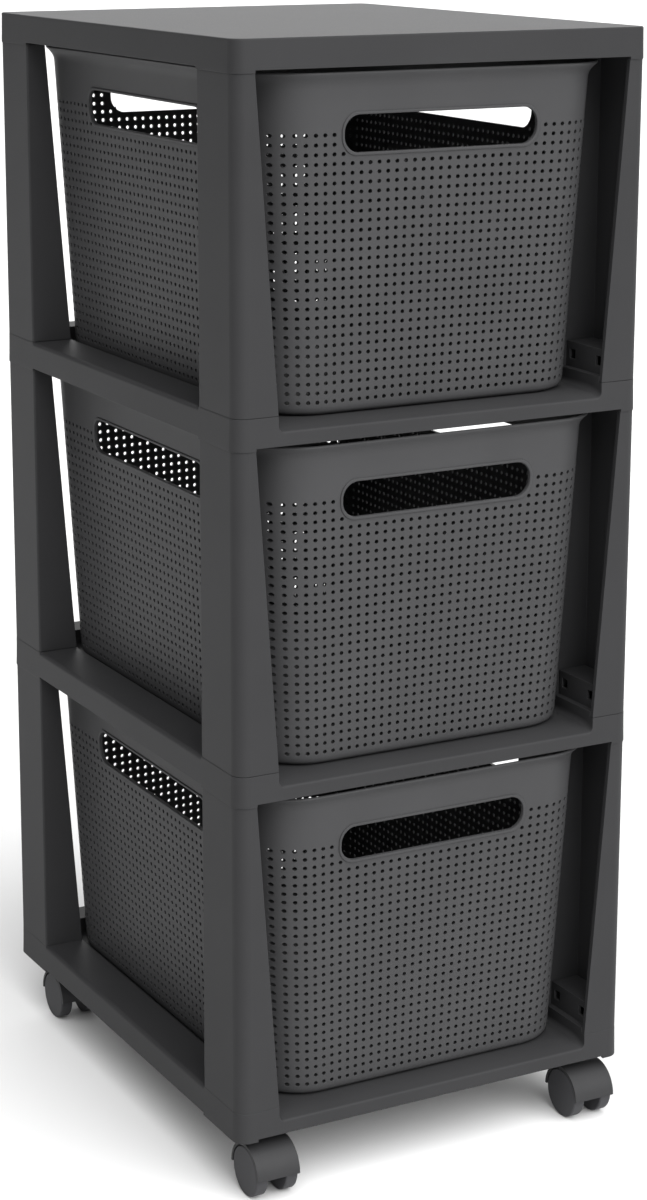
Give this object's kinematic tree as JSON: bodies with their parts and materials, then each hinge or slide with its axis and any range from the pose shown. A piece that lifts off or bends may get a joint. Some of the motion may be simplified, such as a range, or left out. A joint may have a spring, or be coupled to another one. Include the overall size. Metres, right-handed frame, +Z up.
{
  "type": "rolling drawer unit",
  "caption": "Narrow rolling storage unit of dark plastic: perforated pull-out baskets on tray shelves between tapered channel posts, with a flat cover and twin-wheel casters.",
  "frame": {"origin": "on the floor, in the middle of the plan outline with the casters trailing to the front", "axes": "+Z up, +X to the unit's right as seen from the front, -Y toward the front"},
  "size_m": [0.3308, 0.4214, 0.8321],
  "materials": {
    "frame_plastic": "fine matte",
    "basket_plastic": "satin",
    "caster_plastic": "satin",
    "wheel_plastic": "matte",
    "steel": "zinc plated"
  },
  "bodies": {
    "frame": {"top_cover": "frame_plastic", "shelf_base": "frame_plastic", "post_base_front_left": "frame_plastic", "post_base_front_right": "frame_plastic", "post_base_rear_left": "frame_plastic", "post_base_rear_right": "frame_plastic", "shelf_middle": "frame_plastic", "post_middle_front_left": "frame_plastic", "post_middle_front_right": "frame_plastic", "post_middle_rear_left": "frame_plastic", "post_middle_rear_right": "frame_plastic", "shelf_upper": "frame_plastic", "post_upper_front_left": "frame_plastic", "post_upper_front_right": "frame_plastic", "post_upper_rear_left": "frame_plastic", "post_upper_rear_right": "frame_plastic", "caster_front_left_stem": "steel", "caster_front_right_stem": "steel", "caster_rear_left_stem": "steel", "caster_rear_right_stem": "steel"},
    "basket_base": {"basket_base": "basket_plastic"},
    "basket_middle": {"basket_middle": "basket_plastic"},
    "basket_upper": {"basket_upper": "basket_plastic"},
    "caster_front_left_fork": {"caster_front_left_hood": "caster_plastic", "caster_front_left_axle": "steel"},
    "caster_front_left_wheel_left": {"caster_front_left_wheel_left": "wheel_plastic"},
    "caster_front_left_wheel_right": {"caster_front_left_wheel_right": "wheel_plastic"},
    "caster_front_right_fork": {"caster_front_right_hood": "caster_plastic", "caster_front_right_axle": "steel"},
    "caster_front_right_wheel_left": {"caster_front_right_wheel_left": "wheel_plastic"},
    "caster_front_right_wheel_right": {"caster_front_right_wheel_right": "wheel_plastic"},
    "caster_rear_left_fork": {"caster_rear_left_hood": "caster_plastic", "caster_rear_left_axle": "steel"},
    "caster_rear_left_wheel_left": {"caster_rear_left_wheel_left": "wheel_plastic"},
    "caster_rear_left_wheel_right": {"caster_rear_left_wheel_right": "wheel_plastic"},
    "caster_rear_right_fork": {"caster_rear_right_hood": "caster_plastic", "caster_rear_right_axle": "steel"},
    "caster_rear_right_wheel_left": {"caster_rear_right_wheel_left": "wheel_plastic"},
    "caster_rear_right_wheel_right": {"caster_rear_right_wheel_right": "wheel_plastic"}
  },
  "joints": [
    {"name": "basket_base_slide", "type": "slide", "parent": "frame", "child": "basket_base", "axis": [0, -1, 0], "range_m": [0, 0.3]},
    {"name": "basket_middle_slide", "type": "slide", "parent": "frame", "child": "basket_middle", "axis": [0, -1, 0], "range_m": [0, 0.3]},
    {"name": "basket_upper_slide", "type": "slide", "parent": "frame", "child": "basket_upper", "axis": [0, -1, 0], "range_m": [0, 0.3]},
    {"name": "caster_front_left_swivel", "type": "hinge", "parent": "frame", "child": "caster_front_left_fork", "pos_m": [-0.1371, -0.1733, 0.0431], "axis": [0, 0, 1], "continuous": true},
    {"name": "caster_front_left_wheel_left_spin", "type": "hinge", "parent": "caster_front_left_fork", "child": "caster_front_left_wheel_left", "pos_m": [-0.1371, -0.1893, 0.01885], "axis": [1, 0, 0], "continuous": true},
    {"name": "caster_front_left_wheel_right_spin", "type": "hinge", "parent": "caster_front_left_fork", "child": "caster_front_left_wheel_right", "pos_m": [-0.1371, -0.1893, 0.01885], "axis": [1, 0, 0], "continuous": true},
    {"name": "caster_front_right_swivel", "type": "hinge", "parent": "frame", "child": "caster_front_right_fork", "pos_m": [0.1371, -0.1733, 0.0431], "axis": [0, 0, 1], "continuous": true},
    {"name": "caster_front_right_wheel_left_spin", "type": "hinge", "parent": "caster_front_right_fork", "child": "caster_front_right_wheel_left", "pos_m": [0.1371, -0.1893, 0.01885], "axis": [1, 0, 0], "continuous": true},
    {"name": "caster_front_right_wheel_right_spin", "type": "hinge", "parent": "caster_front_right_fork", "child": "caster_front_right_wheel_right", "pos_m": [0.1371, -0.1893, 0.01885], "axis": [1, 0, 0], "continuous": true},
    {"name": "caster_rear_left_swivel", "type": "hinge", "parent": "frame", "child": "caster_rear_left_fork", "pos_m": [-0.1371, 0.1817, 0.0431], "axis": [0, 0, 1], "continuous": true},
    {"name": "caster_rear_left_wheel_left_spin", "type": "hinge", "parent": "caster_rear_left_fork", "child": "caster_rear_left_wheel_left", "pos_m": [-0.1371, 0.1657, 0.01885], "axis": [1, 0, 0], "continuous": true},
    {"name": "caster_rear_left_wheel_right_spin", "type": "hinge", "parent": "caster_rear_left_fork", "child": "caster_rear_left_wheel_right", "pos_m": [-0.1371, 0.1657, 0.01885], "axis": [1, 0, 0], "continuous": true},
    {"name": "caster_rear_right_swivel", "type": "hinge", "parent": "frame", "child": "caster_rear_right_fork", "pos_m": [0.1371, 0.1817, 0.0431], "axis": [0, 0, 1], "continuous": true},
    {"name": "caster_rear_right_wheel_left_spin", "type": "hinge", "parent": "caster_rear_right_fork", "child": "caster_rear_right_wheel_left", "pos_m": [0.1371, 0.1657, 0.01885], "axis": [1, 0, 0], "continuous": true},
    {"name": "caster_rear_right_wheel_right_spin", "type": "hinge", "parent": "caster_rear_right_fork", "child": "caster_rear_right_wheel_right", "pos_m": [0.1371, 0.1657, 0.01885], "axis": [1, 0, 0], "continuous": true}
  ]
}
